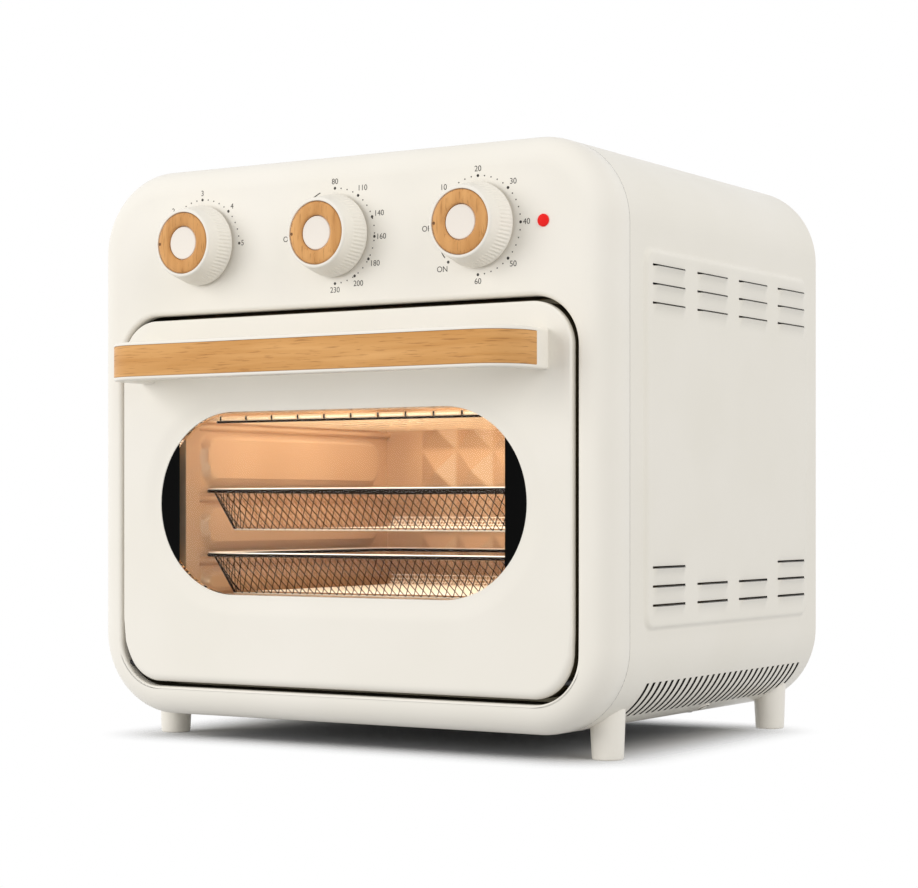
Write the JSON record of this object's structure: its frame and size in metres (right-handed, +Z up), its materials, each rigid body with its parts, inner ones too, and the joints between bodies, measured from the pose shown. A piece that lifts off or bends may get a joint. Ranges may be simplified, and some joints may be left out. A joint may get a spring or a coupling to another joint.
{
  "type": "countertop air fryer oven",
  "caption": "Rounded cream countertop air fryer oven with drop-down windowed door, wood-strip bow handle, turning dials, wire rack and mesh baskets over a fan-heated cavity.",
  "frame": {"origin": "middle of the footprint spanned by the handle and the cord gland, on the surface it stands on", "axes": "+X to the right seen from the front, +Y to the rear, +Z up"},
  "size_m": [0.3646, 0.335, 0.3468],
  "materials": {
    "cream_plastic": "satin",
    "cream_enamel": "satin",
    "zinc_steel": "plain zinc",
    "liner_steel": "warm satin",
    "black_steel": "satin",
    "wood": "oiled",
    "glass": "clear",
    "black_print": "gloss",
    "wire_steel": "satin",
    "heater_steel": "satin",
    "ceramic": "matt",
    "fan_aluminium": "plain",
    "shaft_steel": "plain",
    "motor_iron": "varnished",
    "control_plastic": "moulded",
    "red_lens": "clear red",
    "rubber": "matt"
  },
  "bodies": {
    "housing": {"front_bezel": "cream_plastic", "foot_front_left": "cream_plastic", "foot_front_right": "cream_plastic", "foot_rear_left": "cream_plastic", "foot_rear_right": "cream_plastic", "casing_wrap": "cream_enamel", "rear_panel": "cream_enamel", "base_panel": "zinc_steel", "control_bracket": "zinc_steel", "motor_bracket": "zinc_steel", "fan_shroud": "zinc_steel", "cavity_frame": "zinc_steel", "cavity_floor": "liner_steel", "cavity_ceiling": "liner_steel", "cavity_back": "liner_steel", "cavity_wall_left": "liner_steel", "cavity_wall_right": "liner_steel", "crumb_tray": "liner_steel", "fan_guard": "liner_steel", "upper_heater": "heater_steel", "lower_heaters": "heater_steel", "heater_ends": "ceramic", "hinge_bushes": "shaft_steel", "rear_screws": "shaft_steel", "base_screws": "shaft_steel", "bracket_screws": "shaft_steel", "fan_motor": "motor_iron", "function_switch": "control_plastic", "thermostat": "control_plastic", "timer": "control_plastic", "power_lamp_holder": "control_plastic", "power_lamp_lens": "red_lens", "cord_gland": "rubber"},
    "door": {"door_panel": "cream_plastic", "door_liner": "black_steel", "window_glass": "glass", "window_mask": "black_print", "handle_bow": "cream_plastic", "handle_strip": "wood", "handle_screws": "shaft_steel", "hinge_pins": "shaft_steel"},
    "function_dial": {"function_knob": "cream_plastic", "function_knob_ring": "wood", "function_knob_cap": "cream_plastic", "function_shaft": "shaft_steel"},
    "temperature_dial": {"temperature_knob": "cream_plastic", "temperature_knob_ring": "wood", "temperature_knob_cap": "cream_plastic", "temperature_shaft": "shaft_steel"},
    "timer_dial": {"timer_knob": "cream_plastic", "timer_knob_ring": "wood", "timer_knob_cap": "cream_plastic", "timer_shaft": "shaft_steel"},
    "fan": {"fan_impeller": "fan_aluminium", "fan_shaft": "shaft_steel"},
    "rack": {"wire_rack": "wire_steel"},
    "upper_basket": {"upper_basket_rim": "wire_steel", "upper_basket_net": "wire_steel"},
    "lower_basket": {"lower_basket_rim": "wire_steel", "lower_basket_net": "wire_steel"}
  },
  "joints": [
    {"name": "door_hinge", "type": "hinge", "parent": "housing", "child": "door", "pos_m": [0, -0.11975, 0.0456], "axis": [1, 0, 0], "range_deg": [0, 85]},
    {"name": "function_turn", "type": "hinge", "parent": "housing", "child": "function_dial", "pos_m": [-0.097, -0.1245, 0.2985], "axis": [0, 1, 0], "range_deg": [0, 180]},
    {"name": "temperature_turn", "type": "hinge", "parent": "housing", "child": "temperature_dial", "pos_m": [0, -0.1245, 0.2985], "axis": [0, 1, 0], "range_deg": [0, 270]},
    {"name": "timer_turn", "type": "hinge", "parent": "housing", "child": "timer_dial", "pos_m": [0.097, -0.1245, 0.2985], "axis": [0, 1, 0], "range_deg": [-45, 270]},
    {"name": "fan_spin", "type": "hinge", "parent": "housing", "child": "fan", "pos_m": [0, 0.01325, 0.2618], "axis": [0, 0, 1], "continuous": true},
    {"name": "rack_slide", "type": "slide", "parent": "housing", "child": "rack", "axis": [0, -1, 0], "range_m": [0, 0.09]},
    {"name": "upper_basket_slide", "type": "slide", "parent": "housing", "child": "upper_basket", "axis": [0, -1, 0], "range_m": [0, 0.09]},
    {"name": "lower_basket_slide", "type": "slide", "parent": "housing", "child": "lower_basket", "axis": [0, -1, 0], "range_m": [0, 0.09]}
  ],
  "couplings": [
    {"joint": "rack_slide", "follows": "door_hinge", "m_per_rad": 0.06},
    {"joint": "upper_basket_slide", "follows": "door_hinge", "m_per_rad": 0.06},
    {"joint": "lower_basket_slide", "follows": "door_hinge", "m_per_rad": 0.06}
  ]
}
